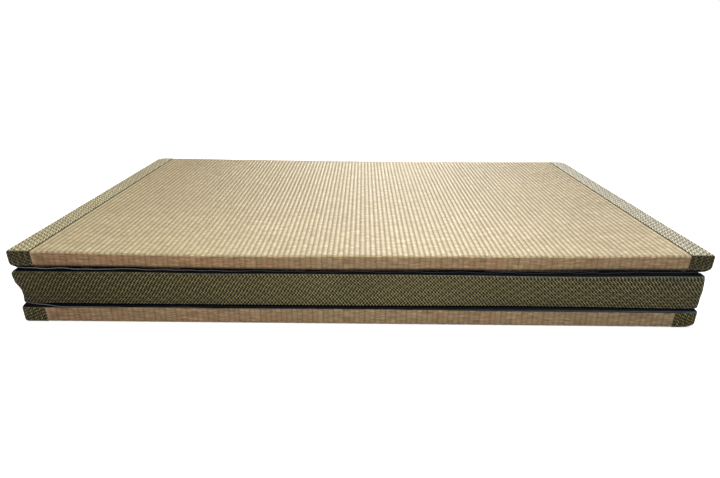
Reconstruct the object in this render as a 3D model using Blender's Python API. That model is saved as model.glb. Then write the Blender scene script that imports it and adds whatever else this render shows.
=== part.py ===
"""A tatami mat of four panels, folded back and forth into a stack.

Metres, +Z up. X runs along the width of the mat, -Y is the front of the stack, and the origin is the
middle of the underside. From the floor up the panels lie face down, face up, face down and face up, so
the outer two show a free end at the front and every fold has two panels meeting end to end.
"""

import math
from collections import namedtuple

import bmesh
import bpy

# Driving dimensions
WIDTH = 0.900
DEPTH = 0.525
HEIGHT = 0.102
CLOTH = 0.001  # thickness of the bindings, backings and hinge bands
GAP = 0.00032  # clearance between two pieces of cloth that touch
UNDER_CLOTH = CLOTH + GAP
BINDING_WIDTH = 0.030  # how far a binding reaches in over the face of its panel
BACKING_RIM = 0.005  # how far a backing turns up round the edge of its panel
FRONT = -DEPTH / 2
BACK = DEPTH / 2
BEHIND_BAND = UNDER_CLOTH + GAP  # how far a panel stands back from the outside of a hinge band

# Where the hinge bands run
FRONT_BAND_CORNER = 0.0035  # radius of the two corners that the front band turns
FRONT_BAND_RETURN = 0.012  # how far back the front band ends after turning them
BACK_BAND_SWEEP = 50  # how many degrees of the rounded back corners a back band covers
BACK_BAND_CREASE = 0.0004  # depth of the crease along the middle of a back band
HALF_CREASE = 0.006  # how far above and below its middle a back band bends into the crease

# Fineness of the rounded edges
CORNER_STEPS = 4
EDGE_STEPS = 4
SHARPEST = 0.002  # least radius of a corner in plan, twice the cloth's thickness

# One row for each panel, from the floor up. "front_corner" is the radius of its two front corners in
# plan. "face_edge" and "back_edge" are the radii of the edges round its rush face and its backing.
Panel = namedtuple("Panel", "name low high left right front face_up front_corner face_edge back_edge")
PANELS = (
    Panel("1", 0.0000, 0.0276, -0.4488, 0.4495, FRONT, False, 0.003, 0.004, 0.007),
    Panel("2", 0.0280, 0.0525, -0.4424, 0.4448, FRONT + BEHIND_BAND, True, 0.003, 0.005, 0.004),
    Panel("3", 0.0529, 0.0771, -0.4484, 0.4434, FRONT + BEHIND_BAND, False, 0.003, 0.005, 0.006),
    Panel("4", 0.0775, HEIGHT, -WIDTH / 2, WIDTH / 2, FRONT, True, 0.003, 0.003, 0.009),
)
BACK_CORNER = 0.014

# One row for each level of a hinge band, from its lower edge up. "left" and "right" are where its ends
# turn the corners, and "inset" is how far the cloth lies in from the plane of the fold.
Level = namedtuple("Level", "z left right inset")
FRONT_BAND = (
    Level(0.0295, -0.4440, 0.4462, 0.0006),
    Level(0.0320, -0.4450, 0.4466, 0.0000),
    Level(0.0400, -0.4440, 0.4466, 0.0000),
    Level(0.0470, -0.4452, 0.4468, 0.0002),
    Level(0.0527, -0.4485, 0.4470, 0.0008),
    Level(0.0575, -0.4499, 0.4466, 0.0002),
    Level(0.0650, -0.4500, 0.4460, 0.0000),
    Level(0.0712, -0.4500, 0.4450, 0.0001),
    Level(0.0746, -0.4491, 0.4446, 0.0010),
)


def clear_scene():
    for thing in list(bpy.data.objects):
        bpy.data.objects.remove(thing)


def material(name, colour, roughness):
    made = bpy.data.materials.new(name)
    made.use_nodes = True
    shader = made.node_tree.nodes["Principled BSDF"]
    shader.inputs["Base Color"].default_value = (*colour, 1)
    shader.inputs["Roughness"].default_value = roughness
    shader.inputs["Metallic"].default_value = 0
    return made


def add_object(name, bm, finish):
    mesh = bpy.data.meshes.new(name)
    bm.to_mesh(mesh)
    bm.free()
    mesh.shade_smooth()
    mesh.set_sharp_from_angle(angle=math.radians(40))
    mesh.materials.append(finish)
    made = bpy.data.objects.new(name, mesh)
    bpy.context.scene.collection.objects.link(made)
    return made


def quarter_turn(radius, steps):
    """(inset, rise) of the points of a rounded edge, from the flat it starts on to the wall it meets."""
    angles = [math.pi / 2 * step / steps for step in range(steps + 1)]
    return [(radius * (1 - math.sin(a)), radius * (1 - math.cos(a))) for a in angles]


def outline(left, right, front, back, front_radius, back_radius):
    """The points of a rectangle with rounded corners, anticlockwise from the left end of its front."""
    corners = (
        (left, front, 1, 1, front_radius, 180),
        (right, front, -1, 1, front_radius, 270),
        (right, back, -1, -1, back_radius, 0),
        (left, back, 1, -1, back_radius, 90),
    )
    points = []
    for x, y, to_right, to_back, radius, start in corners:
        for step in range(CORNER_STEPS + 1):
            turn = math.radians(start + 90 * step / CORNER_STEPS)
            centre = (x + to_right * radius, y + to_back * radius)
            points.append((centre[0] + radius * math.cos(turn), centre[1] + radius * math.sin(turn)))
    return points


def rounded_panel(panel, within=0.0):
    """The closed outer form of a panel, or the form that lies this far within it."""
    low, high = panel.low + within, panel.high - within
    edge_at = {True: panel.face_edge - within, False: panel.back_edge - within}
    rising = [(inset, low + rise) for inset, rise in quarter_turn(edge_at[not panel.face_up], EDGE_STEPS)]
    falling = [(inset, high - rise) for inset, rise in quarter_turn(edge_at[panel.face_up], EDGE_STEPS)]
    bm = bmesh.new()
    rings = []
    for inset, z in rising + falling[::-1]:
        drawn_in = inset + within
        plan = outline(
            panel.left + drawn_in,
            panel.right - drawn_in,
            panel.front + drawn_in,
            BACK - BEHIND_BAND - drawn_in,
            max(panel.front_corner - drawn_in, SHARPEST),
            max(BACK_CORNER - drawn_in, SHARPEST),
        )
        rings.append([bm.verts.new((x, y, z)) for x, y in plan])
    join_rings(bm, rings, closed=True)
    bm.faces.new(rings[0][::-1])
    bm.faces.new(rings[-1])
    return bm


def join_rings(bm, rings, closed):
    """Faces between each ring of points and the next one."""
    count = len(rings[0])
    for lower, upper in zip(rings, rings[1:]):
        for i in range(count if closed else count - 1):
            j = (i + 1) % count
            bm.faces.new((lower[i], lower[j], upper[j], upper[i]))


def rim_height(panel):
    """The level where the backing of a panel ends and its rush and its bindings begin."""
    return panel.low + BACKING_RIM if panel.face_up else panel.high - BACKING_RIM


def face_side_of_rim(panel):
    """The plane that leaves only what is on the rush side of the rim: a point on it, and the way out."""
    way = 1 if panel.face_up else -1
    return (0, 0, rim_height(panel) + way * GAP / 2), (0, 0, -way)


def back_side_of_rim(panel):
    way = 1 if panel.face_up else -1
    return (0, 0, rim_height(panel) - way * GAP / 2), (0, 0, way)


def keep_within(bm, planes):
    """Cuts a closed convex form down to what lies within some planes, and closes each cut."""
    for point, outwards in planes:
        everything = bm.verts[:] + bm.edges[:] + bm.faces[:]
        done = bmesh.ops.bisect_plane(
            bm, geom=everything, plane_co=point, plane_no=outwards, clear_outer=True
        )
        edges = [item for item in done["geom_cut"] if isinstance(item, bmesh.types.BMEdge)]
        bmesh.ops.holes_fill(bm, edges=edges)
    return bm


def combine(made, operation, bm):
    """Adds or takes away a closed form, which itself stays out of the model."""
    tool = add_object(f"{operation.lower()} for {made.name}", bm, made.data.materials[0])
    tool.hide_render = True
    tool.display_type = "WIRE"
    boolean = made.modifiers.new(operation.lower(), "BOOLEAN")
    boolean.operation = operation
    boolean.object = tool


def add_rush_panel(panel, finish):
    """The filled panel in its rush cloth: full size where the rush shows, smaller under the other cloth."""
    side = BINDING_WIDTH + GAP / 2
    shows = (
        ((panel.left + side, 0, 0), (-1, 0, 0)),
        ((panel.right - side, 0, 0), (1, 0, 0)),
        face_side_of_rim(panel),
    )
    made = add_object("rush_panel_" + panel.name, rounded_panel(panel, UNDER_CLOTH), finish)
    combine(made, "UNION", keep_within(rounded_panel(panel), shows))


def add_cover(name, panel, planes, finish):
    """Cloth laid on a panel, between its outside and one cloth's thickness in, and within some planes."""
    made = add_object(name, keep_within(rounded_panel(panel), planes), finish)
    combine(made, "DIFFERENCE", rounded_panel(panel, CLOTH))


def add_bindings(panel, finish):
    """The cloth caps over both ends of a panel: face margin, side, and flaps folded over front and back."""
    side = BINDING_WIDTH - GAP / 2
    left = ((panel.left + side, 0, 0), (1, 0, 0))
    right = ((panel.right - side, 0, 0), (-1, 0, 0))
    add_cover("binding_left_" + panel.name, panel, (left, face_side_of_rim(panel)), finish)
    add_cover("binding_right_" + panel.name, panel, (right, face_side_of_rim(panel)), finish)


def add_backing(panel, finish):
    """The shallow tray of backing cloth: the whole back of the panel and its turned-up rim."""
    add_cover("backing_" + panel.name, panel, (back_side_of_rim(panel),), finish)


def back_band_levels(lower, upper):
    """The levels of a hinge band over the back ends of two panels, lightly creased where they meet."""
    middle = (lower.high + upper.low) / 2
    lower_ends = (lower.left - BEHIND_BAND, lower.right + BEHIND_BAND)
    upper_ends = (upper.left - BEHIND_BAND, upper.right + BEHIND_BAND)
    middle_ends = [(below + above) / 2 for below, above in zip(lower_ends, upper_ends)]
    return (
        Level(lower.low + lower.face_edge, *lower_ends, 0.0),
        Level(middle - HALF_CREASE, *lower_ends, 0.0),
        Level(middle, *middle_ends, BACK_BAND_CREASE),
        Level(middle + HALF_CREASE, *upper_ends, 0.0),
        Level(upper.high - upper.face_edge, *upper_ends, 0.0),
    )


def add_hinge_band(name, levels, at_front, radius, sweep, returns_to, finish):
    """A strip over the ends of two panels. It turns their corners through an angle, and may run on back."""
    bm = bmesh.new()
    fold, inwards = (FRONT, 1) if at_front else (BACK, -1)
    rings = []
    for level in levels:
        plan = [(0.0, returns_to)] if returns_to else []
        for step in range(CORNER_STEPS + 1):
            turn = math.radians(sweep * (1 - step / CORNER_STEPS))
            plan.append((radius * (1 - math.sin(turn)), level.inset + radius * (1 - math.cos(turn))))
        ring = [(level.left + across, fold + inwards * along) for across, along in plan]
        ring += [(level.right - across, fold + inwards * along) for across, along in plan[::-1]]
        rings.append([bm.verts.new((x, y, level.z)) for x, y in ring])
    join_rings(bm, rings, closed=False)
    if not at_front:
        bmesh.ops.reverse_faces(bm, faces=bm.faces[:])
    made = add_object(name, bm, finish)
    solidify = made.modifiers.new("cloth thickness", "SOLIDIFY")
    solidify.thickness = CLOTH
    solidify.offset = -1
    solidify.use_even_offset = True


def main():
    clear_scene()
    rush = material("woven rush", (0.56, 0.45, 0.27), 0.6)
    olive = material("olive herringbone cloth", (0.13, 0.12, 0.06), 0.8)
    black = material("black backing cloth", (0.012, 0.013, 0.015), 0.7)
    for panel in PANELS:
        add_rush_panel(panel, rush)
        add_bindings(panel, olive)
        add_backing(panel, black)
    add_hinge_band("hinge_band_front", FRONT_BAND, True, FRONT_BAND_CORNER, 90, FRONT_BAND_RETURN, olive)
    round_corner = BACK_CORNER + BEHIND_BAND
    for name, lower, upper in (("lower", PANELS[0], PANELS[1]), ("upper", PANELS[2], PANELS[3])):
        levels = back_band_levels(lower, upper)
        add_hinge_band("hinge_band_back_" + name, levels, False, round_corner, BACK_BAND_SWEEP, 0, olive)


main()
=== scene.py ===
# %% [markdown]
# # A folding tatami mat, lesson by lesson
# The real mat is four boards of light filling, each wrapped in woven rush. A dark patterned tape binds both
# ends of every board, black cloth backs it, and strips of the same patterned cloth hinge the boards, which
# are folded back and forth into a flat stack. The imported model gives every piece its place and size, so it
# is loaded first and nothing in it is moved.

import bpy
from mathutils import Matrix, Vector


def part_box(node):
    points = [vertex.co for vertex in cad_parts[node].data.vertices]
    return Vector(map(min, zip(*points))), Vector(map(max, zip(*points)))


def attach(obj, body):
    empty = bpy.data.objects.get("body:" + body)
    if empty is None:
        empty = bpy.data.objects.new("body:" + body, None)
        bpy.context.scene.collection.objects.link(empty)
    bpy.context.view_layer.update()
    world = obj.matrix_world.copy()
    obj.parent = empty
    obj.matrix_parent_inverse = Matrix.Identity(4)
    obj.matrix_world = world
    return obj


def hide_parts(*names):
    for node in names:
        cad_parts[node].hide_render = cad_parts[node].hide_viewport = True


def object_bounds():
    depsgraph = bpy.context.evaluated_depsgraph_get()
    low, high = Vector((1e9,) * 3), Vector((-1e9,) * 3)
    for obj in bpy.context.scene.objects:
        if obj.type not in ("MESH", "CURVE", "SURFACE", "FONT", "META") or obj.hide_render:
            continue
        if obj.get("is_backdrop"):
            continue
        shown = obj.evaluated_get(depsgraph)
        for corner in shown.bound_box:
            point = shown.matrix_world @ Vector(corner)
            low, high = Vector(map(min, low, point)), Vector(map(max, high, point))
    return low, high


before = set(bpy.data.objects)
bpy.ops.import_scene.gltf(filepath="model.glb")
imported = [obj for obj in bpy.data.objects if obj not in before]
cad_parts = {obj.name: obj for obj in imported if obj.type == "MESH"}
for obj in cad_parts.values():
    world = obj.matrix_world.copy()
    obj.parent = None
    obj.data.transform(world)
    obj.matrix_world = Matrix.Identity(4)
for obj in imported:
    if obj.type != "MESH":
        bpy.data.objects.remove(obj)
cad_low, cad_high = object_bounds()
print("frame from", tuple(cad_low), "to", tuple(cad_high))

# %% [markdown]
# ## Measures
# A maker would read these off the finished mat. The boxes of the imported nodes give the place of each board,
# and the numbers below say how its edges are rounded and how the cloth lies. All are in metres.

# %% Name what repeats
import math

import bmesh
import bpy
from mathutils import Euler, Matrix, Vector, noise

BODY = "root"
FACE_UP = {"1": False, "2": True, "3": False, "4": True}
# The radii of the edges round the rush face and round the backing of each panel
FACE_EDGE = {"1": 0.004, "2": 0.005, "3": 0.005, "4": 0.003}
BACK_EDGE = {"1": 0.007, "2": 0.004, "3": 0.006, "4": 0.009}
FRONT_CORNER, BACK_CORNER = 0.003, 0.014  # seen from above
CLOTH = 0.001  # thickness
TUCK = 0.0014  # how far the rush lies in where other cloth covers it
TINY = 0.0001  # places closer than this count as one


def all_nodes_of(number):
    kinds = ("rush_panel_", "binding_left_", "binding_right_", "backing_")
    return [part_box(kind + number) for kind in kinds]


def outer_box(number):
    """The lowest and highest corners of one whole panel with its bindings and backing."""
    boxes = all_nodes_of(number)
    low = Vector([min(box[0][i] for box in boxes) for i in range(3)])
    high = Vector([max(box[1][i] for box in boxes) for i in range(3)])
    return low, high


PANEL_BOX = {number: outer_box(number) for number in FACE_UP}
FRONT, BACK = cad_low.y, cad_high.y
for number, (low, high) in PANEL_BOX.items():
    print(f"panel {number}: {low.z * 1000:.1f} to {high.z * 1000:.1f} mm high")


def rim_level(number):
    """The level where a panel's backing ends and its rush and bindings begin."""
    backing_low, backing_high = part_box("backing_" + number)
    return backing_high.z if FACE_UP[number] else backing_low.z


# %% [markdown]
# ## Small tools
# An operator acts on whatever is selected, so each step first deselects everything. These helpers pick
# faces, edges or vertices by where they are, cut a mesh across, extrude it, and apply a modifier.

# %% Pick, slice and apply
def select_only(piece):
    bpy.ops.object.select_all(action="DESELECT")
    piece.select_set(True)
    bpy.context.view_layer.objects.active = piece


def edit(piece):
    select_only(piece)
    bpy.ops.object.mode_set(mode="EDIT")


def leave_edit():
    bpy.ops.object.mode_set(mode="OBJECT")


def pick(piece, kind, wanted):
    """Selects only the vertices, edges or faces that a test wants. Works in edit mode."""
    bpy.ops.mesh.select_mode(type={"verts": "VERT", "edges": "EDGE", "faces": "FACE"}[kind])
    bpy.ops.mesh.select_all(action="DESELECT")
    shape = bmesh.from_edit_mesh(piece.data)
    shape.normal_update()
    for item in getattr(shape, kind):
        if wanted(item):
            item.select_set(True)
    shape.select_flush_mode()
    bmesh.update_edit_mesh(piece.data)


def cut_across(axis, places, way=1, clear=False):
    """Cuts the mesh in edit mode right through at each place along an axis. It can also clear away what lies
    beyond: above the place if way is 1, below it if -1."""
    for place in places:
        point, normal = Vector(), Vector()
        point[axis], normal[axis] = place, way
        bpy.ops.mesh.select_all(action="SELECT")
        bpy.ops.mesh.bisect(plane_co=point, plane_no=normal, clear_outer=clear)


def extrude(*step):
    bpy.ops.mesh.extrude_region_move(TRANSFORM_OT_translate={"value": step})


def face_outwards():
    bpy.ops.mesh.select_all(action="SELECT")
    bpy.ops.mesh.normals_make_consistent(inside=False)


def started(name, scale=(1, 1, 1)):
    """Names the piece that was just added, and applies its place and scale so that it sits at the origin."""
    piece = bpy.context.object
    piece.name = name
    piece.scale = scale
    bpy.ops.object.transform_apply(location=True, rotation=True, scale=True)
    return piece


def apply_modifier(piece, kind, **settings):
    select_only(piece)
    bpy.ops.object.modifier_add(type=kind)
    modifier = piece.modifiers[-1]
    for name, value in settings.items():
        setattr(modifier, name, value)
    bpy.ops.object.modifier_apply(modifier=modifier.name)


def between(low, high, count):
    """Places that part a stretch into count equal lengths."""
    return [low + (high - low) * i / count for i in range(1, count)]


def ease(t):
    t = min(1.0, max(0.0, t))
    return t * t * (3 - 2 * t)


# %% [markdown]
# ## How the stack settles
# No folded mat is quite even: each edge rises and dips a few millimetres. Every piece could be bent on its
# own, but then they would cut into each other, so one rule moves them all. Each row for the front gives a
# level of the plain stack and how far the cloth there has moved, at evenly spaced places from left to
# right. The row for the back is for the top of the stack, and fades out towards the floor.

# %% The uneven front
STATIONS = (-0.40, 0.10)  # first place along X, and the step to the next
FRONT_SETTLING_MM = (
    (0.0000, (0.0,) * 9),
    (0.0226, (-0.8, -0.1, -0.2, 0.5, 0.6, 0.5, -0.1, -0.2, -0.3)),
    (0.0295, (-0.8, -0.6, -0.6, -0.4, -0.3, 0.5, 1.3, 1.0, -0.1)),
    (0.0527, (-0.1, 0.1, 0.4, 0.8, 1.1, 0.8, -0.3, -2.0, -3.6)),
    (0.0746, (0.0, 0.3, -0.7, -0.2, 0.0, 0.3, -0.4, -0.5, 1.3)),
    (0.0825, (0.7, 0.3, -0.8, -1.6, -1.0, 0.3, -0.1, 2.2, 3.2)),
    (0.1020, (1.7, -0.2, -1.2, -1.0, 0.1, 0.6, 1.2, 2.2, 4.0)),
)
BACK_SETTLING_MM = (0.2, -0.7, -1.4, -1.8, -2.1, -2.1, -1.8, -1.4, -0.7)  # at the top of the stack
RIPPLE = 0.0003
RIPPLES_PER_METRE = Vector((14, 11, 30))


def settled_at(row, x):
    """The value of a row at any place, on a smooth curve through the row's numbers."""
    place = min(len(row) - 1.0, max(0.0, (x - STATIONS[0]) / STATIONS[1]))
    i = min(len(row) - 2, math.floor(place))
    before, after = row[max(i - 1, 0)], row[min(i + 2, len(row) - 1)]
    t = place - i
    rise, bend = (row[i + 1] - before) / 2, (after - row[i]) / 2
    step = row[i + 1] - row[i]
    return row[i] + t * (rise + t * (3 * step - 2 * rise - bend + t * (rise + bend - 2 * step)))


def settling(point):
    """How far a point of the plain stack moves up or down."""
    for (below, low_row), (above, high_row) in zip(FRONT_SETTLING_MM, FRONT_SETTLING_MM[1:]):
        if point.z <= above:
            break
    share = min(1.0, max(0.0, (point.z - below) / (above - below)))
    at_front = settled_at(low_row, point.x) * (1 - share) + settled_at(high_row, point.x) * share
    at_back = settled_at(BACK_SETTLING_MM, point.x) * point.z / cad_high.z
    behind = min(1.0, max(0.0, (point.y - FRONT) / (BACK - FRONT)))
    ripple = RIPPLE * noise.noise(point * RIPPLES_PER_METRE)
    return (at_front * (1 - behind) + at_back * behind) * 0.001 + ease(point.z / 0.01) * ripple


def settle(piece):
    for vertex in piece.data.vertices:
        vertex.co.z += settling(vertex.co)
    piece.data.update()


print("the front of the top moves by", FRONT_SETTLING_MM[-1][1], "mm")

# %% [markdown]
# ## A rounded board
# Every cloth piece of a panel lies on the same rounded board, so the board is made once for each panel and
# its covers are cut from copies. It starts as a plane with two pairs of rounded corners. The plane is then
# extruded upwards a step at a time and resized at each step, which rounds its lower and upper edges.

# %% Model a board
EDGE_STEPS = 5
BOARD_SLICES = (90, 30)  # across and from front to back, so that it can bend


def rounding(radius):
    """(inset, rise) at each step round a quarter turn, from the flat to the wall."""
    turns = [math.pi / 2 * step / EDGE_STEPS for step in range(EDGE_STEPS + 1)]
    return [(radius * (1 - math.sin(t)), radius * (1 - math.cos(t))) for t in turns]


def rounded_board(number):
    low, high = PANEL_BOX[number]
    middle = (low + high) / 2
    size = high - low
    bottom_edge = (BACK_EDGE if FACE_UP[number] else FACE_EDGE)[number]
    top_edge = (FACE_EDGE if FACE_UP[number] else BACK_EDGE)[number]
    levels = [(inset, low.z + rise) for inset, rise in rounding(bottom_edge)]
    levels += [(inset, high.z - rise) for inset, rise in reversed(rounding(top_edge))]
    bpy.ops.mesh.primitive_plane_add(size=1, location=(middle.x, middle.y, low.z))
    board = started("board_" + number, (size.x - 2 * bottom_edge, size.y - 2 * bottom_edge, 1))
    edit(board)
    for way, radius in ((-1, FRONT_CORNER), (1, BACK_CORNER)):
        end = way * (size.y / 2 - bottom_edge)
        pick(board, "verts", lambda v: abs(v.co.y - middle.y - end) < TINY)
        bpy.ops.mesh.bevel(offset=radius, segments=EDGE_STEPS, affect="VERTICES")
    bpy.ops.mesh.select_mode(type="FACE")
    bpy.ops.mesh.select_all(action="SELECT")
    for (was_in, was_at), (inset, level) in zip(levels, levels[1:]):
        extrude(0, 0, level - was_at)
        grow = ((size.x - 2 * inset) / (size.x - 2 * was_in), (size.y - 2 * inset) / (size.y - 2 * was_in), 1)
        bpy.ops.transform.resize(value=grow, center_override=(middle.x, middle.y, level))
    face_outwards()
    for axis, count in enumerate(BOARD_SLICES):
        cut_across(axis, between(low[axis], high[axis], count))
    leave_edit()
    return board


boards = {number: rounded_board(number) for number in FACE_UP}
print("a board has", len(boards["4"].data.polygons), "faces")

# %% [markdown]
# ## The cloth's own run
# A weave has to follow its cloth round an edge and down the other side. Each cloth piece gets a UV map in
# metres for that: across the face it is simply X and Y, and below the face it goes on by the distance
# travelled down, outwards the way the cloth turned.

# %% Lay out the run
RUN = "cloth_run"


def lay_run(piece, face_level, u_per_metre=1.0, u_start=0.0, ribbed=False):
    """Writes the cloth's run: u across the mat and v from front to back, both on over the edges.
    Ribbed cloth leans this way and that in its furrows, so there only v goes on over the edge."""
    mesh = piece.data
    layer = mesh.uv_layers.new(name=RUN)
    places = []
    for vertex in mesh.vertices:
        out = Vector((0 if ribbed else vertex.normal.x, vertex.normal.y))
        out = out.normalized() if out.length > 0.05 else Vector((0, 0))
        down = abs(vertex.co.z - face_level)
        u = (vertex.co.x + out.x * down - u_start) * u_per_metre
        places.append((u, vertex.co.y + out.y * down))
    for loop in mesh.loops:
        layer.data[loop.index].uv = places[loop.vertex_index]


# %% [markdown]
# ## Rush panels
# Woven rush is ribbed: thousands of stems run across the mat, and each pair of warp threads under them
# raises a rib that runs from front to back. Two ribs are modelled once, as a slice right through the panel,
# and an array repeats them, which is far lighter than cutting the ribs into a whole board. The slice starts
# as a plane on edge with the panel's side profile, is extruded in small steps across two ribs, and loses
# its end faces. Sinking the rows of points between the ribs then makes the furrows.

# %% Model a panel from its ribs
RIB_PAIR = 0.01424
CLOSER_RIBS = 0.024  # by how much the ribs lie closer together at the middle of the mat
GROOVE = 0.0003  # between the ribs and the edge of the binding
BINDING_WIDTH = 0.030
TOP_FURROW = 0.0007
END_FURROW = {True: 0.0003, False: 0.0001}  # depth on the front: round each pair of ribs, and inside it


def rib_shape(turn):
    """How far into its furrow a point is, from 0 on a rib's crown to 1 in the furrow."""
    return 1 - abs(math.sin(math.pi * turn)) ** 0.75


def panel_profile(number, left, rows, front_rows):
    """The panel's side profile as a plane on edge, cut into the rows that its points will lie on."""
    low, high = PANEL_BOX[number]
    face_up = FACE_UP[number]
    middle = (low + high) / 2
    size = high - low
    centre = (left, middle.y, middle.z)
    bpy.ops.mesh.primitive_plane_add(size=1, location=centre, rotation=(0, math.pi / 2, 0))
    panel = started("rush_cloth_" + number, (size.z, size.y, 1))
    edit(panel)
    for above, radius in ((face_up, FACE_EDGE[number]), (not face_up, BACK_EDGE[number])):
        level = high.z if above else low.z
        pick(panel, "verts", lambda v: abs(v.co.z - level) < TINY)
        bpy.ops.mesh.bevel(offset=radius, segments=EDGE_STEPS, affect="VERTICES")
    rim = rim_level(number)
    way = 1 if face_up else -1
    face_level = high.z if face_up else low.z
    cut_across(2, between(rim, face_level - way * FACE_EDGE[number], front_rows))
    cut_across(2, (rim + way * 0.0002, rim - way * 0.0002))
    cut_across(1, between(low.y + 0.001, high.y - 0.001, rows))
    leave_edit()
    return panel


def tuck_under_backing(panel, number):
    """Draws in the part of the profile that the backing will cover."""
    low, high = PANEL_BOX[number]
    rim, way = rim_level(number), 1 if FACE_UP[number] else -1
    for vertex in panel.data.vertices:
        if way * (vertex.co.z - rim) < 0:
            vertex.co.y = min(high.y - TUCK, max(low.y + TUCK, vertex.co.y))
            vertex.co.z = min(high.z - TUCK, max(low.z + TUCK, vertex.co.z))


def sink_furrows(panel, number, left, pair):
    """Moves the rows of points between the crowns of two ribs into the panel."""
    rim, way = rim_level(number), 1 if FACE_UP[number] else -1
    moves = []
    for vertex in panel.data.vertices:
        turn = 2 * (vertex.co.x - left) / pair
        outermost = abs(turn - 1) > 0.5
        shown = way * (vertex.co.z - rim) > 0
        out = Vector((0, vertex.normal.y, vertex.normal.z)).normalized()
        depth = TOP_FURROW + (END_FURROW[outermost] - TOP_FURROW) * ease(abs(out.y) * 1.6)
        depth *= rib_shape(turn) if shown else 0.0
        moves.append(-out * depth)
    for vertex, move in zip(panel.data.vertices, moves):
        vertex.co += move


def close_end(panel, number, place, way):
    """Runs a panel's open end on under its binding and closes it."""
    low, high = PANEL_BOX[number]
    middle = (low + high) / 2
    size = high - low
    drawn_in = ((size.y - 2 * TUCK) / size.y, (size.z - 2 * TUCK) / size.z)
    # Each step: how far the end goes on, and how much of its depth and height it keeps
    steps = ((0.0003, *drawn_in), (BINDING_WIDTH - 0.006, 1, 1), (0.003, 0.995, 0.86))
    pick(panel, "edges", lambda e: e.is_boundary and all(abs(v.co.x - place) < TINY for v in e.verts))
    for across, y_share, z_share in steps:
        extrude(way * across, 0, 0)
        place += way * across
        centre = (place, middle.y, middle.z)
        bpy.ops.transform.resize(value=(1, y_share, z_share), center_override=centre)
    bpy.ops.mesh.edge_face_add()


def close_ranks(panel, middle, half):
    """Draws the ribs together towards the middle of the mat, and leaves its ends where they are."""
    for vertex in panel.data.vertices:
        out = (vertex.co.x - middle) / half
        if abs(out) < 1:
            vertex.co.x = middle + half * out * (1 - CLOSER_RIBS * (1 - out * out))


def rush_panel(number, rows, front_rows, columns):
    low, high = PANEL_BOX[number]
    left, right = low.x + BINDING_WIDTH + GROOVE, high.x - BINDING_WIDTH - GROOVE
    pairs = round((right - left) / RIB_PAIR)
    pair = (right - left) / pairs
    panel = panel_profile(number, left, rows, front_rows)
    tuck_under_backing(panel, number)
    edit(panel)
    bpy.ops.mesh.select_mode(type="FACE")
    bpy.ops.mesh.select_all(action="SELECT")
    for _ in range(2 * columns):
        extrude(pair / 2 / columns, 0, 0)
    pick(panel, "faces", lambda f: abs(f.normal.x) > 0.5)
    bpy.ops.mesh.delete(type="FACE")
    face_outwards()
    leave_edit()
    sink_furrows(panel, number, left, pair)
    apply_modifier(
        panel, "ARRAY", count=pairs, use_relative_offset=False, use_constant_offset=True,
        constant_offset_displace=(pair, 0, 0), use_merge_vertices=True, merge_threshold=TINY,
    )
    edit(panel)
    close_end(panel, number, left, -1)
    close_end(panel, number, right, 1)
    face_outwards()
    leave_edit()
    lay_run(panel, high.z if FACE_UP[number] else low.z, u_per_metre=2 / pair, u_start=left, ribbed=True)
    close_ranks(panel, (left + right) / 2, (right - left) / 2)
    settle(panel)
    print(panel.name, len(panel.data.polygons), "faces in", 2 * pairs, "ribs")
    return panel


# Rows of points along the face and up the front, and columns across a rib: most where it shows
RUSH_ROWS = {"1": (12, 6, 5), "2": (6, 3, 3), "3": (6, 3, 3), "4": (36, 6, 5)}
rush = {number: rush_panel(number, *RUSH_ROWS[number]) for number in FACE_UP}

# %% [markdown]
# ## Bindings and backings
# A binding is tape folded over the end of its panel: a margin on the face, the side, and a flap folded over
# each corner. A backing is a shallow tray. Both could be bent from flat strips. They are cut from a copy of
# the board with bisect instead and given the cloth's thickness by Solidify, because then they fit the panel
# as cloth glued to it would. Where it shows, a flap widens downwards, and one flattened corner turns up.

# %% Cut the covers
PROUD = 0.0004  # how far the cloth stands outside the board it was cut from
SHARP = math.radians(50)
CORNER_LIFT, CORNER_LENGTH = 0.0035, 0.014
FLAP_FLARE = {("4", "left"): 0.0014, ("4", "right"): 0.0012, ("1", "left"): 0.0016, ("1", "right"): 0.0015}


def copy_of(board, name):
    select_only(board)
    bpy.ops.object.duplicate()
    piece = bpy.context.object
    piece.name = name
    return piece


def thicken(piece, thickness, proud):
    """Gives a surface its thickness, and rounds the cut edges a little."""
    offset = 2 * proud / thickness - 1
    apply_modifier(piece, "SOLIDIFY", thickness=thickness, offset=offset, use_even_offset=True)
    rounded = {"width": thickness * 0.3, "segments": 2}
    apply_modifier(piece, "BEVEL", limit_method="ANGLE", angle_limit=SHARP, **rounded)


def flare_flap(piece, low, high, inner, flare):
    """Widens the folded flaps towards the bottom, as a fold of tape that was pulled in by hand."""
    outer = low.x if inner < 0 else high.x
    for vertex in piece.data.vertices:
        on_flap = ease((abs(vertex.normal.y) - 0.3) / 0.6)
        share = (vertex.co.x - outer) / (inner - outer)
        down = (high.z - vertex.co.z) / (high.z - low.z)
        vertex.co.x += on_flap * share * down * (flare if inner < 0 else -flare)


def turn_up_corner(piece, low, high):
    """Rounds the right end of a flattened binding by drawing its lowest corner up."""
    for vertex in piece.data.vertices:
        outwards = ease((vertex.co.x - high.x + CORNER_LENGTH) / CORNER_LENGTH)
        lowest = 1 - ease((vertex.co.z - low.z) / (high.z - low.z))
        vertex.co.z += CORNER_LIFT * outwards * lowest
        vertex.co.x -= CORNER_LIFT * 0.4 * outwards


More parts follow.
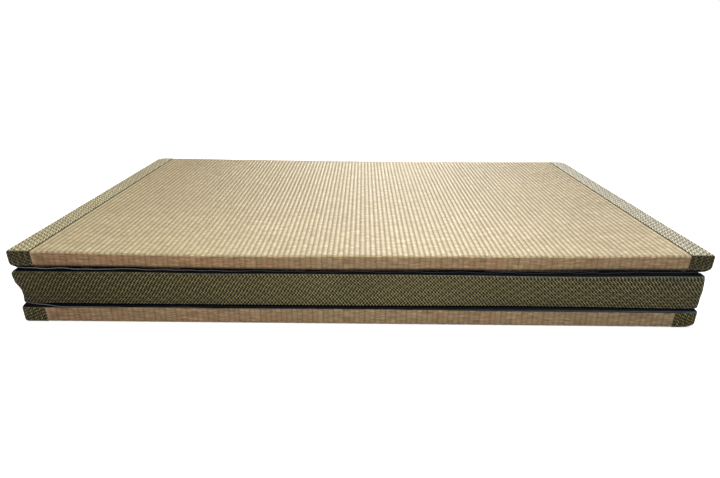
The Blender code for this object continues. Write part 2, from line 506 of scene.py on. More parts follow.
def binding(number, side):
    low, high = PANEL_BOX[number]
    face_up = FACE_UP[number]
    piece = copy_of(boards[number], f"binding_tape_{side}_{number}")
    inner = low.x + BINDING_WIDTH if side == "left" else high.x - BINDING_WIDTH
    edit(piece)
    cut_across(0, [inner], 1 if side == "left" else -1, clear=True)
    cut_across(2, [rim_level(number)], -1 if face_up else 1, clear=True)
    leave_edit()
    lay_run(piece, high.z if face_up else low.z)
    if (number, side) in FLAP_FLARE:
        flare_flap(piece, low, high, inner, FLAP_FLARE[number, side])
    if (number, side) == ("1", "right"):
        turn_up_corner(piece, low, high)
    thicken(piece, CLOTH, PROUD if number in "14" else 0)
    settle(piece)
    return piece


def backing(number):
    piece = copy_of(boards[number], "backing_cloth_" + number)
    edit(piece)
    cut_across(2, [rim_level(number)], 1 if FACE_UP[number] else -1, clear=True)
    leave_edit()
    thicken(piece, CLOTH, 0)
    settle(piece)
    return piece


bindings = {(number, side): binding(number, side) for number in FACE_UP for side in ("left", "right")}
backings = {number: backing(number) for number in FACE_UP}
print(len(bindings), "bindings and", len(backings), "backings")

# %% [markdown]
# ## Rolled hems
# Along the front the cut edge of a backing is rolled over and glued, which leaves a thin roll of cloth with
# a wave in it. A circle is extruded along the mat in short steps, because each step then has points that
# the wave can move.

# %% Roll the hems
HEM_RADIUS = 0.00035
HEM_STEPS = 160
HEM_SHORT = 0.006  # by how much the hem stops short of the mat's ends
TUCKED_IN = 0.004  # how far its ends go in under the rim
HEM_LEVEL = {"4": 0.0794, "1": 0.0238}
LIFT_AT_LEFT = {"4": 0.0, "1": 0.0040}
WAVE_IN, WAVE_UP = 0.0004, 0.0011


def rolled_hem(number):
    low, high = PANEL_BOX[number]
    level = HEM_LEVEL[number]
    left, right = low.x + HEM_SHORT, high.x - HEM_SHORT
    start, on_edge = (left, FRONT + 0.0002, level), (0, math.pi / 2, 0)
    bpy.ops.mesh.primitive_circle_add(vertices=8, radius=HEM_RADIUS, location=start, rotation=on_edge)
    hem = started("backing_hem_" + number)
    edit(hem)
    bpy.ops.mesh.select_all(action="SELECT")
    for _ in range(HEM_STEPS):
        extrude((right - left) / HEM_STEPS, 0, 0)
    for end in (left, right):
        pick(hem, "edges", lambda e: e.is_boundary and all(abs(v.co.x - end) < TINY for v in e.verts))
        bpy.ops.mesh.edge_face_add()
    face_outwards()
    leave_edit()
    for vertex in hem.data.vertices:
        wave = noise.noise(Vector((vertex.co.x * 45, level * 90, 0.5)))
        at_end = ease((abs(vertex.co.x) - 0.425) / 0.02)
        at_left = ease((-vertex.co.x - 0.395) / 0.03)
        inwards = WAVE_IN * wave + TUCKED_IN * at_end
        vertex.co += Vector((0, inwards, WAVE_UP * wave + LIFT_AT_LEFT[number] * at_left))
    settle(hem)
    return hem


hems = {number: rolled_hem(number) for number in HEM_LEVEL}
print("hems:", [hem.name for hem in hems.values()])

# %% [markdown]
# ## Hinge bands
# At each fold a strip of the patterned cloth runs over the ends of two panels. It starts as a flat grid, as
# the real strip does, so the run of its weave is known before it is bent. Its points are then moved by
# rules: round the corners of the stack, in at the crease between the panels, and out where filling pushes.

# %% Bend the bands round the stack
BAND_GRID = (180, 24)  # columns and rows
# One row for each level of the front band: its height, left end, right end and how far in it lies
FRONT_LEVELS = (
    (0.0295, -0.4440, 0.4462, 0.0006),
    (0.0320, -0.4452, 0.4472, 0.0000),
    (0.0400, -0.4440, 0.4478, 0.0000),
    (0.0470, -0.4452, 0.4480, 0.0002),
    (0.0527, -0.4482, 0.4482, 0.0008),
    (0.0575, -0.4500, 0.4478, 0.0002),
    (0.0650, -0.4512, 0.4470, 0.0000),
    (0.0712, -0.4519, 0.4461, 0.0001),
    (0.0746, -0.4488, 0.4458, 0.0010),
)


def level_at(levels, z):
    """The left end, right end and inset of a band at some height."""
    for lower, upper in zip(levels, levels[1:]):
        if z <= upper[0]:
            break
    share = min(1.0, max(0.0, (z - lower[0]) / (upper[0] - lower[0])))
    return [a + (b - a) * share for a, b in zip(lower[1:], upper[1:])]


def round_the_stack(along, left, right, radius, sweep):
    """Where a point that far along a band lies, left to right: its X, and how far in from the fold."""
    middle = (left + right) / 2
    half_straight = (right - left) / 2 - radius
    beyond = abs(along) - half_straight
    way = 1 if along > 0 else -1
    if beyond <= 0:
        return middle + along, 0.0
    turn = min(beyond / radius, sweep)
    run_on = beyond - turn * radius
    across = half_straight + radius * math.sin(turn) + run_on * math.cos(turn)
    return middle + way * across, radius * (1 - math.cos(turn)) + run_on * math.sin(turn)


def hinge_band(name, levels, at_front, radius, sweep, run_on):
    low, high = levels[0][0], levels[-1][0]
    widest = max(row[2] - row[1] for row in levels)
    half = widest / 2 - radius + radius * sweep + run_on
    columns, rows = BAND_GRID
    bpy.ops.mesh.primitive_grid_add(x_subdivisions=columns, y_subdivisions=rows, size=1)
    band = started(name, (2 * half, high - low, 1))
    layer = band.data.uv_layers.new(name=RUN)
    for loop in band.data.loops:
        place = band.data.vertices[loop.vertex_index].co
        layer.data[loop.index].uv = (place.x, place.y)
    way = 1 if at_front else -1
    fold = FRONT if at_front else BACK
    for vertex in band.data.vertices:
        z = (low + high) / 2 + vertex.co.y
        left, right, inset = level_at(levels, z)
        x, inwards = round_the_stack(vertex.co.x, left, right, radius, sweep)
        vertex.co = (x, fold + way * (inset + inwards), z)
    edit(band)
    face_outwards()
    leave_edit()
    if at_front == (band.data.polygons[len(band.data.polygons) // 2].normal.y > 0):
        band.data.flip_normals()
    thicken(band, CLOTH, 0)
    settle(band)
    return band


BACK_BAND_OUT = 0.0016  # how far the band stands outside the panels at its ends
HALF_CREASE = 0.006
BACK_TURN = math.radians(50)


def back_levels(lower, upper):
    """The levels of a band at the back, which covers two panels from face to face."""
    out = BACK_BAND_OUT
    (low, low_top), (high_bottom, high) = PANEL_BOX[lower], PANEL_BOX[upper]
    middle = (low_top.z + high_bottom.z) / 2
    return (
        (low.z + FACE_EDGE[lower], low.x - out, low_top.x + out, 0.0),
        (middle - HALF_CREASE, low.x - out, low_top.x + out, 0.0),
        (middle, (low.x + high_bottom.x) / 2 - out, (low_top.x + high.x) / 2 + out, 0.0004),
        (middle + HALF_CREASE, high_bottom.x - out, high.x + out, 0.0),
        (high.z - FACE_EDGE[upper], high_bottom.x - out, high.x + out, 0.0),
    )


def back_band(name, lower, upper):
    radius = BACK_CORNER + BACK_BAND_OUT
    return hinge_band(name, back_levels(lower, upper), False, radius, BACK_TURN, run_on=0)


bands = {
    "hinge_band_front": hinge_band(
        "hinge_cloth_front", FRONT_LEVELS, at_front=True, radius=0.0035, sweep=math.pi / 2, run_on=0.008
    ),
    "hinge_band_back_lower": back_band("hinge_cloth_back_lower", "1", "2"),
    "hinge_band_back_upper": back_band("hinge_cloth_back_upper", "3", "4"),
}
print("bands:", [band.name for band in bands.values()])
for board in boards.values():
    bpy.data.objects.remove(board)

# %% [markdown]
# ## Materials
# Every finish is made of nodes, so that it keeps its scale from any side. What several finishes share is a
# node group with named sockets.

# %% Helpers for node trees
def add(kind, inputs, tree=None, **settings):
    """Adds a node, and links or fills its inputs by name or number. A node that takes in other nodes' values
    goes into their tree."""
    sockets = {name: value for name, value in inputs.items() if isinstance(value, bpy.types.NodeSocket)}
    tree = tree or next(iter(sockets.values())).id_data
    node = tree.nodes.new(kind)
    for name, value in settings.items():
        setattr(node, name, value)
    for name, value in inputs.items():
        if name in sockets:
            tree.links.new(value, node.inputs[name])
        else:
            node.inputs[name].default_value = value
    return node


def maths(operation, *values):
    return add("ShaderNodeMath", dict(enumerate(values)), operation=operation).outputs[0]


def times(product, *others):
    for value in others:
        product = maths("MULTIPLY", product, value)
    return product


def wave_of(kind, value, turn=math.pi):
    """The sine or cosine of a value, which is first multiplied by an angle."""
    return maths(kind, times(value, turn))


def spread(value, from_low, from_high, to_low=0, to_high=1, smooth=False):
    """Maps a value from one range to another."""
    inputs = {
        "Value": value, "From Min": from_low, "From Max": from_high, "To Min": to_low, "To Max": to_high,
    }
    node = add("ShaderNodeMapRange", inputs, interpolation_type="SMOOTHSTEP" if smooth else "LINEAR")
    return node.outputs[0]


def blended(share, first, second, blend_type="MIX"):
    """One colour mixed with another by a share."""
    inputs = {0: share}
    for index, colour in ((6, first), (7, second)):
        inputs[index] = (*colour, 1) if isinstance(colour, tuple) else colour
    return add("ShaderNodeMix", inputs, data_type="RGBA", blend_type=blend_type).outputs[2]


def tinted(colour, tint):
    return blended(1, colour, tint, blend_type="MULTIPLY")


def combined(x, y, z=0):
    return add("ShaderNodeCombineXYZ", {"X": x, "Y": y, "Z": z}).outputs[0]


def parted(vector):
    """The X, Y and Z of a vector."""
    return add("ShaderNodeSeparateXYZ", {0: vector}).outputs


def cloudy(place, scale=1, detail=2):
    """Smooth noise from 0 to 1."""
    inputs = {"Vector": place, "Scale": scale, "Detail": detail}
    return add("ShaderNodeTexNoise", inputs).outputs[0]


def stretched(across, per_rib, along, per_metre):
    """A place for noise, with its own scale each way."""
    return combined(times(across, per_rib), times(along, per_metre))


def new_group(name, vector, floats):
    """A shader node group that takes one vector, and floats that are given with their usual values."""
    tree = bpy.data.node_groups.new(name, "ShaderNodeTree")
    tree.interface.new_socket(vector, in_out="INPUT", socket_type="NodeSocketVector")
    for socket_name, value in floats.items():
        socket = tree.interface.new_socket(socket_name, in_out="INPUT", socket_type="NodeSocketFloat")
        socket.default_value = value
    return tree, tree.nodes.new("NodeGroupInput").outputs


def put_out(tree, values):
    """Gives a group its outputs, which are all floats."""
    for name in values:
        tree.interface.new_socket(name, in_out="OUTPUT", socket_type="NodeSocketFloat")
    put = tree.nodes.new("NodeGroupOutput").inputs
    for name, value in values.items():
        tree.links.new(value, put[name])
    print("group", tree.name, "has", len(tree.nodes), "nodes")
    return tree


# %% [markdown]
# ### Uneven tone
# No natural cloth is one even colour. This group gives a slow change over the piece and a fine one like
# fibres and dust, both as a number round 1 that multiplies a colour.

# %% Group: uneven tone
FIBRES_PER_METRE = 900


def make_uneven_tone():
    tree, given = new_group("uneven tone", "Place", {"Patch Size": 0.12, "Slow": 0.1, "Fine": 0.1})
    patches = cloudy(given["Place"], maths("DIVIDE", 1, given["Patch Size"]), 3)
    fibres = cloudy(given["Place"], FIBRES_PER_METRE, 4)
    slow = times(maths("SUBTRACT", patches, 0.5), given["Slow"])
    fine = times(maths("SUBTRACT", fibres, 0.5), given["Fine"])
    tone = maths("MULTIPLY_ADD", maths("ADD", slow, fine), 2, 1)
    return put_out(tree, {"Tone": tone, "Fibre": fibres})


uneven_tone = make_uneven_tone()


# %% [markdown]
# ### Woven rush
# The ribs are already in the mesh. What is left is finer: single stems that cross the ribs, over one and
# under the next, so that neighbouring ribs are half a stem out of step. In the run of the cloth u counts
# ribs and v is in metres. Each stem gets its own random tint, which it keeps over about five ribs, and it
# swells and thins a little from rib to rib like a row of beads. The swelling is not in the bump; its Bead
# value is painted on as highlights and shade.

# %% Group: rush stems
STEM_PITCH = 0.0028
WAVER = 1.2  # how far the stems wander, in stems
BEADS_PER_METRE, WAVERS_PER_METRE = 150, 90


def make_rush_stems():
    tree, given = new_group("rush stems", "Run", {"Stem Pitch": STEM_PITCH, "Ribs Per Stem": 5})
    u, v, _ = parted(given["Run"])
    rib = maths("FLOOR", u)
    out_of_step = times(maths("MODULO", rib, 2), 0.5)
    waver = cloudy(stretched(rib, 0.37, v, WAVERS_PER_METRE), detail=1)
    stems = maths("DIVIDE", v, given["Stem Pitch"])
    stems = maths("ADD", stems, times(waver, WAVER))
    place = maths("ADD", stems, out_of_step)
    stem = maths("FLOOR", times(place, 2))
    start = add("ShaderNodeTexWhiteNoise", {"W": stem}, noise_dimensions="1D").outputs["Value"]
    lengths = maths("DIVIDE", u, given["Ribs Per Stem"])
    length = maths("FLOOR", maths("MULTIPLY_ADD", start, 7, lengths))
    one_stem = {"Vector": combined(stem, length)}
    tint = add("ShaderNodeTexWhiteNoise", one_stem, noise_dimensions="2D").outputs["Value"]
    bead = cloudy(stretched(rib, 3.7, v, BEADS_PER_METRE))
    round_stem = wave_of("SINE", maths("FRACT", place))
    crown = wave_of("SINE", maths("FRACT", u))
    furrow = maths("POWER", maths("SUBTRACT", 1, crown), 1.15)
    pair_crown = wave_of("SINE", maths("FRACT", times(u, 0.5)))
    pair_furrow = maths("POWER", maths("SUBTRACT", 1, pair_crown), 6)
    height = times(round_stem, maths("POWER", crown, 0.6))
    return put_out(tree, {
        "Tint": tint, "Bead": bead, "Stem": round_stem, "Furrow": furrow, "Pair Furrow": pair_furrow,
        "Height": height,
    })


rush_stems = make_rush_stems()


# %% [markdown]
# ### Goose-eye cloth
# The binding tape and the hinge bands are woven in a twill. Where it is seen at a slant it reads as rows of
# slanted dashes that turn round from row to row, and where it is seen straight on as a lattice of small
# eyes. Both are cosines of the cloth's run, which a Lozenge value mixes. Folding the run back and forth
# with ping-pong adds the lines of the lozenges. Drawing single yarns would be finer than any view shows.

# %% Group: goose-eye twill
FULL_TURN = 2 * math.pi
TWILL_VALUES = {
    "Repeat U": 0.0179, "Repeat V": 0.0106, "Dash U": 0.00447, "Dash V": 0.0037, "Yarn": 0.0009,
    "Cover": 0.4, "Lozenge": 0.5,
}


def make_goose_eye():
    tree, given = new_group("goose-eye twill", "Run", TWILL_VALUES)
    u, v, _ = parted(given["Run"])
    folded, turns = [], []
    for coordinate, repeat in ((u, given["Repeat U"]), (v, given["Repeat V"])):
        back_and_forth = maths("PINGPONG", coordinate, times(repeat, 0.5))
        folded.append(times(maths("DIVIDE", back_and_forth, repeat), 4))
        turns.append(times(maths("DIVIDE", coordinate, repeat), FULL_TURN))
    dashes = maths("ADD", maths("DIVIDE", maths("ABSOLUTE", u), given["Dash U"]),
                   maths("DIVIDE", v, given["Dash V"]))
    row = maths("COSINE", turns[1])
    in_rows = times(wave_of("COSINE", dashes, FULL_TURN), row, 1.4)
    lattice = times(wave_of("COSINE", turns[0], 4), wave_of("COSINE", turns[1], 2))
    lozenges = wave_of("COSINE", maths("ADD", *folded), FULL_TURN)
    lattice = maths("MULTIPLY_ADD", lattice, 1.1, times(lozenges, 0.4))
    change = maths("SUBTRACT", lattice, in_rows)
    wave = maths("MULTIPLY_ADD", change, given["Lozenge"], in_rows)
    edge = maths("SUBTRACT", 0.35, given["Cover"])
    line = spread(wave, edge, maths("ADD", edge, 0.5), smooth=True)
    eyes = times(maths("COSINE", turns[0]), row)
    between_rows = spread(maths("ABSOLUTE", row), 0, 0.8, 0.75, 1)
    line = times(line, between_rows, spread(eyes, -1, 1, 0.45, 1.15))
    yarns = [wave_of("SINE", maths("DIVIDE", way, given["Yarn"]), FULL_TURN) for way in (u, v)]
    stitch = spread(times(*yarns), -0.6, 0.6, 0.65, 1)
    height = maths("MULTIPLY_ADD", line, 0.6, times(stitch, 0.6))
    return put_out(tree, {"Thread": times(line, stitch), "Height": height})


goose_eye = make_goose_eye()


# %% [markdown]
# ### Helpers for the finishes
# Shaders stay in the materials themselves, and the groups only feed them values and heights. Each finish
# starts from a Principled shader with its constants, and ends by giving it a colour and a bump.

# %% Start and end a finish
HALF_MAT = 0.45
ABOVE_LOWEST = (0.03, 0.06)  # the look of the panel on the floor changes to the others' between these levels


def new_material(name, **shader_values):
    made = bpy.data.materials.new(name)
    made.use_nodes = True
    shader = made.node_tree.nodes["Principled BSDF"]
    for socket, value in shader_values.items():
        shader.inputs[socket.replace("_", " ")].default_value = value
    return made, made.node_tree, shader


def placed_group(group, inputs):
    return add("ShaderNodeGroup", inputs, node_tree=group).outputs


def cloth_run(tree):
    return add("ShaderNodeUVMap", {}, tree, uv_map=RUN).outputs[0]


def object_place(tree):
    return add("ShaderNodeTexCoord", {}, tree).outputs["Object"]


def tone_over(tree, patch_size, slow, fine):
    inputs = {"Place": object_place(tree), "Patch Size": patch_size, "Slow": slow, "Fine": fine}
    return placed_group(uneven_tone, inputs)


def shaded(colour, *shades):
    """A colour multiplied by grey values."""
    for shade in shades:
        colour = tinted(colour, combined(shade, shade, shade))
    return colour


def coloured(made, colour, height, relief):
    """Ends a finish: its colour goes to the shader, and its height as a bump."""
    tree, shader = made.node_tree, made.node_tree.nodes["Principled BSDF"]
    tree.links.new(colour, shader.inputs["Base Color"])
    bump = add("ShaderNodeBump", {"Height": height, "Distance": relief, "Strength": 1})
    tree.links.new(bump.outputs[0], shader.inputs["Normal"])
    print("finish", made.name, "has", len(tree.nodes), "nodes")
    return made


# %% [markdown]
# ### Finish: woven rush
# On top rush is pale and waxy, with a gloss on the crowns of the ribs; painted light makes it brighter and
# bluer towards the right, and painted shade makes it darker and yellower towards the back. Its furrows are
# dull and darkened by painted shade, most towards the sides. Where it is wrapped over the front it is
# browner, darker by painted shade and more streaked, and every pair of ribs is parted by a groove of painted
# shade.
# One material does both, because it is one cloth: the run tells it how far round the edge a place is. The
# stems' tints come from a colour ramp, which is easier to tune than a mix for each.

# %% Build the rush finish
STRAW = (0.60, 0.48, 0.250)
PALE_STEM = (0.73, 0.605, 0.34)
GREEN_STEM = (0.46, 0.415, 0.19)
ROSY_STEM = (0.58, 0.41, 0.24)
STEM_TINTS = ((0, GREEN_STEM), (0.25, STRAW), (0.6, PALE_STEM), (0.8, STRAW), (1, ROSY_STEM))
BACK_SHADE_TINT = (0.88, 0.83, 0.69)  # painted shade: darker and yellower towards the back
TOP_LIGHT_TINTS = ((1.06, 1.07, 1.17), (1.26, 1.28, 1.54))  # painted light at the left and the right: the top brighter and bluer, most at the right
END_SHADE_TINTS = ((0.49, 0.335, 0.315), (0.495, 0.41, 0.405))  # rosy and olive over the straw, both darkened as painted shade
LOWEST_LIGHT_TINT = (1.09, 1.17, 1.24)  # painted light: the panel on the floor lighter and bluer
# Painted shade in the furrows, darker towards the sides and on the front
FURROW_SHADE = (0.36, 0.28, 0.13)
SIDE_FURROW_SHADE = (0.09, 0.06, 0.012)
# Painted highlight on the first rib at the front, where the rush bulges beside the binding
FIRST_RIB_LIGHT = (0.50, 0.33, 0.23)
# Painted shade in the groove between each pair of ribs on the front
GROOVE_SHADE = (0.09, 0.045, 0.02)
# Painted shade where the rush turns in under the rim
TURN_IN_SHADE = (0.06, 0.035, 0.02)
TURNS_OVER = (FRONT - 0.0005, FRONT - 0.0035)  # the run of the rush round the edge between top and front
TURNS_IN = (FRONT - 0.0160, FRONT - 0.0180)  # and where it ends under the rim


def stem_colour(tint):
    ramp = add("ShaderNodeValToRGB", {"Fac": tint})
    while len(ramp.color_ramp.elements) < len(STEM_TINTS):
        ramp.color_ramp.elements.new(0.5)
    for element, (place, colour) in zip(ramp.color_ramp.elements, STEM_TINTS):
        element.position = place
        element.color = (*colour, 1)
    return blended(0.6, STRAW, ramp.outputs[0])


def front_colour(colour, u, v, along, up):
    """The colour of the rush where it is wrapped over the front, in rosy and olive patches, darkened as
    painted shade; on the lowest panel painted light makes it lighter and bluer.
    """
    patches = cloudy(stretched(u, 0.22, v, 30), detail=3)
    olive = maths("MULTIPLY_ADD", along, 1.3, spread(patches, 0.3, 0.7, 0.1, 1.1))
    tint = blended(spread(olive, 0, 1), *END_SHADE_TINTS)
    # Painted light makes the lowest panel lighter and bluer.
    lowest = spread(up, *ABOVE_LOWEST, 1, 0)
    return tinted(colour, blended(lowest, tint, LOWEST_LIGHT_TINT, blend_type="MULTIPLY"))


def make_rush_finish():
    made, tree, shader = new_material("woven rush", Roughness=0.5, Specular_IOR_Level=0.34)
    stems = placed_group(rush_stems, {"Run": cloth_run(tree)})
    tone = tone_over(tree, patch_size=0.16, slow=0.12, fine=0.16)
    u, v, _ = parted(cloth_run(tree))
    along, _, up = parted(object_place(tree))
    wrapped = spread(v, *TURNS_OVER, smooth=True)

    def top_to_front(on_top, in_front):
        return spread(wrapped, 0, 1, on_top, in_front)

    colour = stem_colour(stems["Tint"])
    # Painted shade: the rush darker and yellower towards the back.
    back_shade_share = spread(v, -0.16, BACK)
    colour = blended(back_shade_share, colour, tinted(colour, BACK_SHADE_TINT))
    # Painted light: the top brighter and bluer towards the right.
    top_light = blended(spread(along, 0, 0.28), *TOP_LIGHT_TINTS)
    in_front = front_colour(colour, u, v, along, up)
    colour = blended(wrapped, tinted(colour, top_light), in_front)
    # Painted shade: the furrows darker towards the sides, and on the front.
    at_side = times(spread(maths("ABSOLUTE", along), 0.10, 0.36), spread(v, FRONT, 0, 0.45, 1))
    darker = maths("MAXIMUM", at_side, times(wrapped, 0.6))
    furrow = times(stems["Furrow"], top_to_front(0.92, 0.45))
    # Painted highlight: the first rib on the front lighter, at the left end.
    first_rib_light = times(spread(u, 0.3, 0.7, 0.6, 0), wrapped)
    # Painted shade low on the front of the upper panels, where the rush turns in under the rim.
    turn_in_shade = times(spread(v, *TURNS_IN, 0, 0.85), maths("GREATER_THAN", up, ABOVE_LOWEST[1]))
    for share, brown in (
        (furrow, blended(darker, FURROW_SHADE, SIDE_FURROW_SHADE)), (first_rib_light, FIRST_RIB_LIGHT),
        (times(stems["Pair Furrow"], wrapped, 0.33), GROOVE_SHADE), (turn_in_shade, TURN_IN_SHADE),
    ):
        colour = blended(share, colour, brown)
    streaks = cloudy(stretched(u, 0.45, v, 420))
    shades = (
        tone["Tone"],
        spread(up, 0.0006, 0.0032, 0.15, 1),  # painted shadow where it stands on the floor
        # painted shade between the round stems, stronger on top
        spread(stems["Stem"], 0, 1, top_to_front(0.68, 0.90), 1.06),
        spread(streaks, 0.3, 0.7, top_to_front(0.92, 0.72), top_to_front(1.08, 1.28)),
        # painted highlights and shade where the stems swell along the ribs
        spread(stems["Bead"], 0.25, 0.75, 0.74, 1.22),
    )
    waxy = spread(stems["Tint"], 0, 1, 0.29, 0.40)
    tree.links.new(maths("MULTIPLY_ADD", stems["Furrow"], 0.5, waxy), shader.inputs["Roughness"])
    height = maths("MULTIPLY_ADD", tone["Fibre"], 0.25, stems["Height"])
    return coloured(made, shaded(colour, *shades), height, relief=0.0006)


rush_finish = make_rush_finish()


# %% [markdown]
# ### Finish: patterned cloth
# The tape and the bands have a bright thread on a nearly black ground. The tape's flaps and sides are dark,
# and its margin on the face is painted paler as a painted sheen, brightest to the right. It faces up, so the
# normal's Z tells it apart. The bands are darker towards both ends as painted shade, most at the left, and
# their selvage shows as small grey teeth.

# %% Build the tape and band finishes
THREAD, GROUND = (0.465, 0.40, 0.175), (0.008, 0.007, 0.002)
BROWN_THREAD = (0.47, 0.385, 0.125)
# Painted sheen on the tape's margin on the face: its thread, its ground, and the brighter thread at the right
SHEEN_THREAD, SHEEN_GROUND = (0.93, 0.80, 0.47), (0.07, 0.06, 0.02)
BRIGHTER_SHEEN_THREAD = (0.96, 0.90, 0.70)
SELVAGE = (0.17, 0.19, 0.20)


def faces_up(tree):
    normal = parted(add("ShaderNodeTexCoord", {}, tree).outputs["Normal"])
    return spread(normal[2], 0.55, 0.9, smooth=True)


def make_tape_finish():
    made, tree, _ = new_material("olive binding tape", Roughness=0.5, Specular_IOR_Level=0.2)
    u, v, _ = parted(cloth_run(tree))

    def left_to_right(left, right):
        return spread(u, -HALF_MAT, HALF_MAT, left, right)

    cover = spread(faces_up(tree), 0, 1, 0.35, 0.80)
    drawn_out = spread(faces_up(tree), 0, 1, 1, 0.60)
    turned = combined(times(v, drawn_out), maths("ABSOLUTE", u))
    twill = placed_group(goose_eye, {
        "Run": turned, "Repeat V": 0.0076, "Dash U": 0.0045, "Dash V": 0.0042, "Cover": cover,
    })
    tone = tone_over(tree, patch_size=0.05, slow=0.25, fine=0.25)
    height = parted(object_place(tree))[2]
    # Painted light: the flaps' thread brighter on the lowest panel; on the others darker towards the right.
    flap_brightness = spread(height, *ABOVE_LOWEST, 1.12, left_to_right(0.70, 0.58))
    raised = maths("POWER", twill["Thread"], 1.5)
    colour = blended(times(raised, flap_brightness), GROUND, BROWN_THREAD)
    # Painted sheen on the face, brighter towards the right, where the tape faces up.
    pale = blended(left_to_right(0, 1), SHEEN_THREAD, BRIGHTER_SHEEN_THREAD)
    painted_sheen = blended(twill["Thread"], SHEEN_GROUND, pale)
    colour = blended(faces_up(tree), colour, painted_sheen)
    # Painted light: the tape brighter towards the right.
    colour = shaded(colour, tone["Tone"], left_to_right(0.90, 1.06))
    return coloured(made, colour, twill["Height"], relief=0.0004)


def make_band_finish():
    made, tree, _ = new_material("olive hinge cloth", Roughness=0.5, Specular_IOR_Level=0.2)
    u, v, _ = parted(cloth_run(tree))
    from_middle = maths("ABSOLUTE", u)
    twill = placed_group(goose_eye, {
        "Run": cloth_run(tree), "Lozenge": spread(from_middle, 0.08, 0.32, 0.85, 0.35),
    })
    tone = tone_over(tree, patch_size=0.05, slow=0.25, fine=0.25)
    # Painted shade: the bands darker towards both ends, most at the left.
    end_shade = times(spread(u, -HALF_MAT, -0.05, 0.50, 1.05), spread(u, 0.1, HALF_MAT, 1, 0.74))
    thread = blended(spread(u, -HALF_MAT, 0), BROWN_THREAD, THREAD)
    colour = blended(times(twill["Thread"], 0.88), GROUND, thread)
    colour = shaded(colour, tone["Tone"], end_shade)
    edge = maths("ADD", v, maths("PINGPONG", u, 0.0013))
    teeth = times(spread(edge, 0.0222, 0.0226), spread(u, 0, 0.25, 0.15, 0.9))
    return coloured(made, blended(teeth, colour, SELVAGE), twill["Height"], relief=0.0004)


tape_finish = make_tape_finish()
band_finish = make_band_finish()


# %% [markdown]
# ### Finish: black cloth
# The backing is bonded fibre, nearly black, with a painted grey-blue reflection in a strip low down at the
# right. The rolled hems are the same cloth, with a painted grey highlight towards the left.

# %% Build the backing and hem finishes
# Painted reflection: the grey-blue of the backing's strip at the right
BLACK, SHEEN_BLUE = (0.0025, 0.003, 0.004), (0.080, 0.098, 0.112)
# Painted highlight: the grey of the hems towards the left
HEM_BLACK, HEM_HIGHLIGHT = (0.012, 0.014, 0.017), (0.24, 0.25, 0.27)


def black_cloth(made, share, colours, **unevenness):
    tone = tone_over(made.node_tree, **unevenness)
    colour = shaded(blended(share, *colours), tone["Tone"])
    return coloured(made, colour, tone["Fibre"], relief=0.0005)


def make_backing_finish():
    made, tree, _ = new_material("black backing cloth", Roughness=0.6, Specular_IOR_Level=0.08)
    across, _, up = parted(object_place(tree))
    # Painted reflection: a grey-blue strip low down at the right, where the backing's rounding faces up.
    painted_sheen = times(spread(across, 0, 0.35, smooth=True), spread(up, 0.0240, 0.0252, 1, 0.05))
    return black_cloth(made, painted_sheen, (BLACK, SHEEN_BLUE), patch_size=0.02, slow=0.4, fine=0.6)


def make_hem_finish():
    made, tree, _ = new_material("rubbed hem", Roughness=0.4)
    across = parted(object_place(tree))[0]
    # Painted highlight: the hem grey towards the left.
    painted_highlight = spread(across, -0.42, -0.05, 1, 0, smooth=True)
    return black_cloth(made, painted_highlight, (HEM_BLACK, HEM_HIGHLIGHT), patch_size=0.03, slow=0.5, fine=0.6)


backing_finish = make_backing_finish()
hem_finish = make_hem_finish()

# %% [markdown]
# ## Putting the pieces in the frame
# Each piece is shaded, takes its finish, rides on the one body of the mat and stands for its imported node.

def finish_piece(piece, node, finish):
    select_only(piece)
    bpy.ops.object.shade_smooth_by_angle(angle=SHARP)
    piece.data.materials.clear()
    piece.data.materials.append(finish)
    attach(piece, BODY)
    if node:
        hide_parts(node)


for number, piece in rush.items():
    finish_piece(piece, "rush_panel_" + number, rush_finish)
for (number, side), piece in bindings.items():
    finish_piece(piece, f"binding_{side}_{number}", tape_finish)
for number, piece in backings.items():
    finish_piece(piece, "backing_" + number, backing_finish)
for number, piece in hems.items():
    finish_piece(piece, None, hem_finish)
for node, piece in bands.items():
    finish_piece(piece, node, band_finish)

# %% [markdown]
# ## Floor, light and camera
# The mat lies on a white floor under a soft sky that is bright above and behind it, and dim in front and
# near the horizon. A large window far behind it draws a gloss along the waxy ribs, and a weak soft box
# keeps the front out of full shade. The camera looks down at the mat from the front.

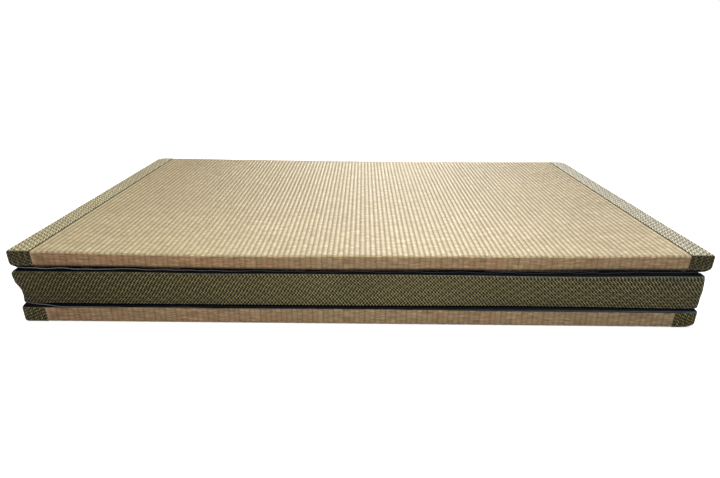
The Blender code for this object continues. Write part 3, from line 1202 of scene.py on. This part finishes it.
# %% Floor
bpy.ops.mesh.primitive_plane_add(size=40, location=(0, 0, 0))
floor = bpy.context.object
floor.name = "floor"
FLOOR_WHITE, FLOOR_GLOW = (0.82, 0.82, 0.82, 1), 0.6  # it glows for the camera only
floor_finish, floor_tree, floor_shader = new_material(
    "white floor", Roughness=0.9, Base_Color=FLOOR_WHITE, Emission_Color=(1, 1, 1, 1)
)
seen = add("ShaderNodeLightPath", {}, floor_tree).outputs["Is Camera Ray"]
floor_tree.links.new(times(seen, FLOOR_GLOW), floor_shader.inputs["Emission Strength"])
floor.data.materials.append(floor_finish)
floor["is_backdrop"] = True

# %% Sky
scene = bpy.context.scene
scene.view_settings.view_transform = "Standard"
world = bpy.data.worlds.new("soft sky")
world.use_nodes = True
scene.world = world
sky = world.node_tree
background = sky.nodes["Background"]
background.inputs["Color"].default_value = (1, 1, 1, 1)
direction = parted(add("ShaderNodeTexCoord", {}, sky).outputs["Generated"])
towards_back = maths("ADD", times(direction[1], 0.75), times(direction[2], 0.65))
glow = spread(towards_back, -0.35, 0.75, 0.13, 0.92, smooth=True)
glow = times(glow, spread(direction[2], 0.15, 0.60, 0.1, 1.0))
seen = add("ShaderNodeLightPath", {}, sky).outputs["Is Camera Ray"]
strength = spread(seen, 0.0, 1.0, glow, 1.0)
sky.links.new(strength, background.inputs["Strength"])

# %% Lights
def soft_light(name, place, aim, size, power, colour):
    bpy.ops.object.light_add(type="AREA", location=place)
    light = bpy.context.object
    light.name = name
    light.data.shape = "RECTANGLE"
    light.data.size, light.data.size_y = size
    light.data.energy = power
    light.data.color = colour
    light.rotation_euler = (Vector(aim) - Vector(place)).to_track_quat("-Z", "Y").to_euler()
    light.visible_camera = False
    print(name, "of", power, "W")


soft_light("window behind", (0.44, 6.0, 2.85), (0.1, -0.1, 0.1), (1.8, 1.6), 340, (1.0, 0.99, 0.98))
soft_light("soft box in front", (0.0, -0.90, 0.62), (0, -0.26, 0.05), (0.5, 0.3), 4.5, (1.0, 0.98, 0.95))

# %% Camera
LENS = 25.122
CAMERA_PLACE = (0.0019, -0.8439, 0.3610)
PITCH, YAW, ROLL = math.radians(22.142), math.radians(-0.165), math.radians(0.472)
bpy.ops.object.camera_add()
camera = bpy.context.object
camera.data.lens = LENS
camera.data.sensor_width = 36
aim = Euler((math.pi / 2 - PITCH, 0, -YAW)).to_matrix() @ Euler((0, 0, ROLL)).to_matrix()
camera.matrix_world = Matrix.Translation(CAMERA_PLACE) @ aim.to_4x4()
scene.camera = camera
print("camera at", CAMERA_PLACE)

# %% Print the sizes and finish
low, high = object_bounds()
print("visual from", tuple(low), "to", tuple(high))
